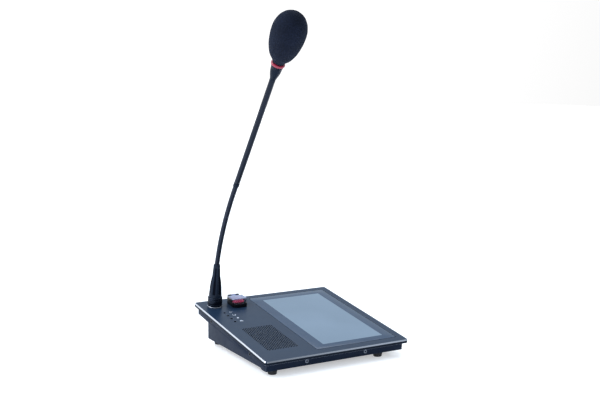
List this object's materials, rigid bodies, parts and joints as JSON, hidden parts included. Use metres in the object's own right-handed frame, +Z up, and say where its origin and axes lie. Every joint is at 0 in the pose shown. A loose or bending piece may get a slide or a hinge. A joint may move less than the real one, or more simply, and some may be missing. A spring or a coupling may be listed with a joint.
{
  "type": "gooseneck podium microphone",
  "caption": "Desktop paging console with a portrait touch screen, a guarded call button, a perforated loudspeaker panel and a plug-in gooseneck microphone with a foam windscreen.",
  "frame": {"origin": "on the table, under the middle of the object's box at rest", "axes": "+Z up from the table; +X to the user's right; +Y away from the user, so the faceplate rises towards +Y and the neck bends towards -Y"},
  "size_m": [0.2, 0.2369, 0.4105],
  "materials": {
    "dark_anodised": "dark anodised, fine satin, bright at the cut edge",
    "black_paint": "fine powder coat, satin",
    "black_plastic": "moulded, fine texture",
    "black_rubber": "matt",
    "foam": "open-cell foam",
    "plated_metal": "bright plated",
    "dark_steel": "blackened satin steel",
    "steel": "zinc plated",
    "glass": "polished cover glass",
    "screen": "flat panel, smooth",
    "red_plastic": "translucent red moulding",
    "clear_plastic": "clear moulding",
    "circuit_board": "green solder mask",
    "gold": "gold plated",
    "paper": "black woven cloth and pressed paper"
  },
  "bodies": {
    "console": {"bottom_cover": "black_paint", "button_bezel": "black_plastic", "button_dome": "black_rubber", "button_switch": "black_plastic", "display_bracket": "steel", "display_glass": "glass", "faceplate": "dark_anodised", "foot_front_left": "black_rubber", "foot_front_right": "black_rubber", "foot_rear_left": "black_rubber", "foot_rear_right": "black_rubber", "foot_screw_front_left": "steel", "foot_screw_front_right": "steel", "foot_screw_rear_left": "steel", "foot_screw_rear_right": "steel", "front_screw_left": "steel", "front_screw_right": "steel", "grille_cloth": "paper", "hinge_pin": "steel", "housing": "black_paint", "lcd_panel": "screen", "left_screw_1": "steel", "left_screw_2": "steel", "light_board": "circuit_board", "light_pipe_1": "clear_plastic", "light_pipe_2": "clear_plastic", "light_pipe_3": "clear_plastic", "light_pipe_4": "clear_plastic", "main_board": "circuit_board", "mic_socket": "black_plastic", "network_socket": "plated_metal", "power_socket": "black_plastic", "right_screw_1": "steel", "right_screw_2": "steel", "socket_ring": "plated_metal", "speaker_basket": "steel", "speaker_cone": "paper", "speaker_magnet": "dark_steel"},
    "plug": {"plug_collar": "dark_steel", "plug_insert": "black_plastic", "plug_pin_1": "gold", "plug_pin_2": "gold", "plug_pin_3": "gold", "boot": "black_rubber", "neck_foot": "dark_steel"},
    "link_1": {"neck_link_1": "dark_steel"},
    "link_2": {"neck_link_2": "dark_steel"},
    "link_3": {"neck_link_3": "dark_steel"},
    "link_4": {"neck_link_4": "dark_steel"},
    "head": {"neck_top": "dark_steel", "neck_ferrule": "dark_steel", "upper_stem": "dark_steel", "head_cone": "dark_steel", "light_ring": "red_plastic", "capsule_holder": "dark_steel", "capsule": "plated_metal", "windscreen": "foam"},
    "lid": {"button_lid": "clear_plastic"},
    "button": {"button_cap": "red_plastic"}
  },
  "joints": [
    {"name": "mic_unplug", "type": "slide", "parent": "console", "child": "plug", "axis": [0, -0.1392, 0.9903], "range_m": [0, 0.01]},
    {"name": "neck_bend_1", "type": "hinge", "parent": "plug", "child": "link_1", "pos_m": [-0.0794, 0.086, 0.11188], "axis": [1, 0, 0], "range_deg": [-25, 25]},
    {"name": "neck_bend_2", "type": "hinge", "parent": "link_1", "child": "link_2", "pos_m": [-0.0794, 0.07721, 0.13432], "axis": [0, 0.9154, 0.4025], "range_deg": [-20, 20]},
    {"name": "neck_bend_3", "type": "hinge", "parent": "link_2", "child": "link_3", "pos_m": [-0.0794, 0.06667, 0.15598], "axis": [1, 0, 0], "range_deg": [-25, 25]},
    {"name": "neck_bend_4", "type": "hinge", "parent": "link_3", "child": "link_4", "pos_m": [-0.0794, 0.0546, 0.17684], "axis": [0, 0.8488, 0.5288], "range_deg": [-20, 20]},
    {"name": "neck_bend_5", "type": "hinge", "parent": "link_4", "child": "head", "pos_m": [-0.0794, 0.04128, 0.19692], "axis": [1, 0, 0], "range_deg": [-25, 25]},
    {"name": "lid_hinge", "type": "hinge", "parent": "console", "child": "lid", "pos_m": [-0.0493, 0.1016, 0.05432], "axis": [-1, 0, 0], "range_deg": [0, 110]},
    {"name": "button_press", "type": "slide", "parent": "console", "child": "button", "axis": [0, 0.1392, -0.9903], "range_m": [0, 0.0015], "stiffness_N_per_m": 800, "springref_m": -0.0005}
  ]
}
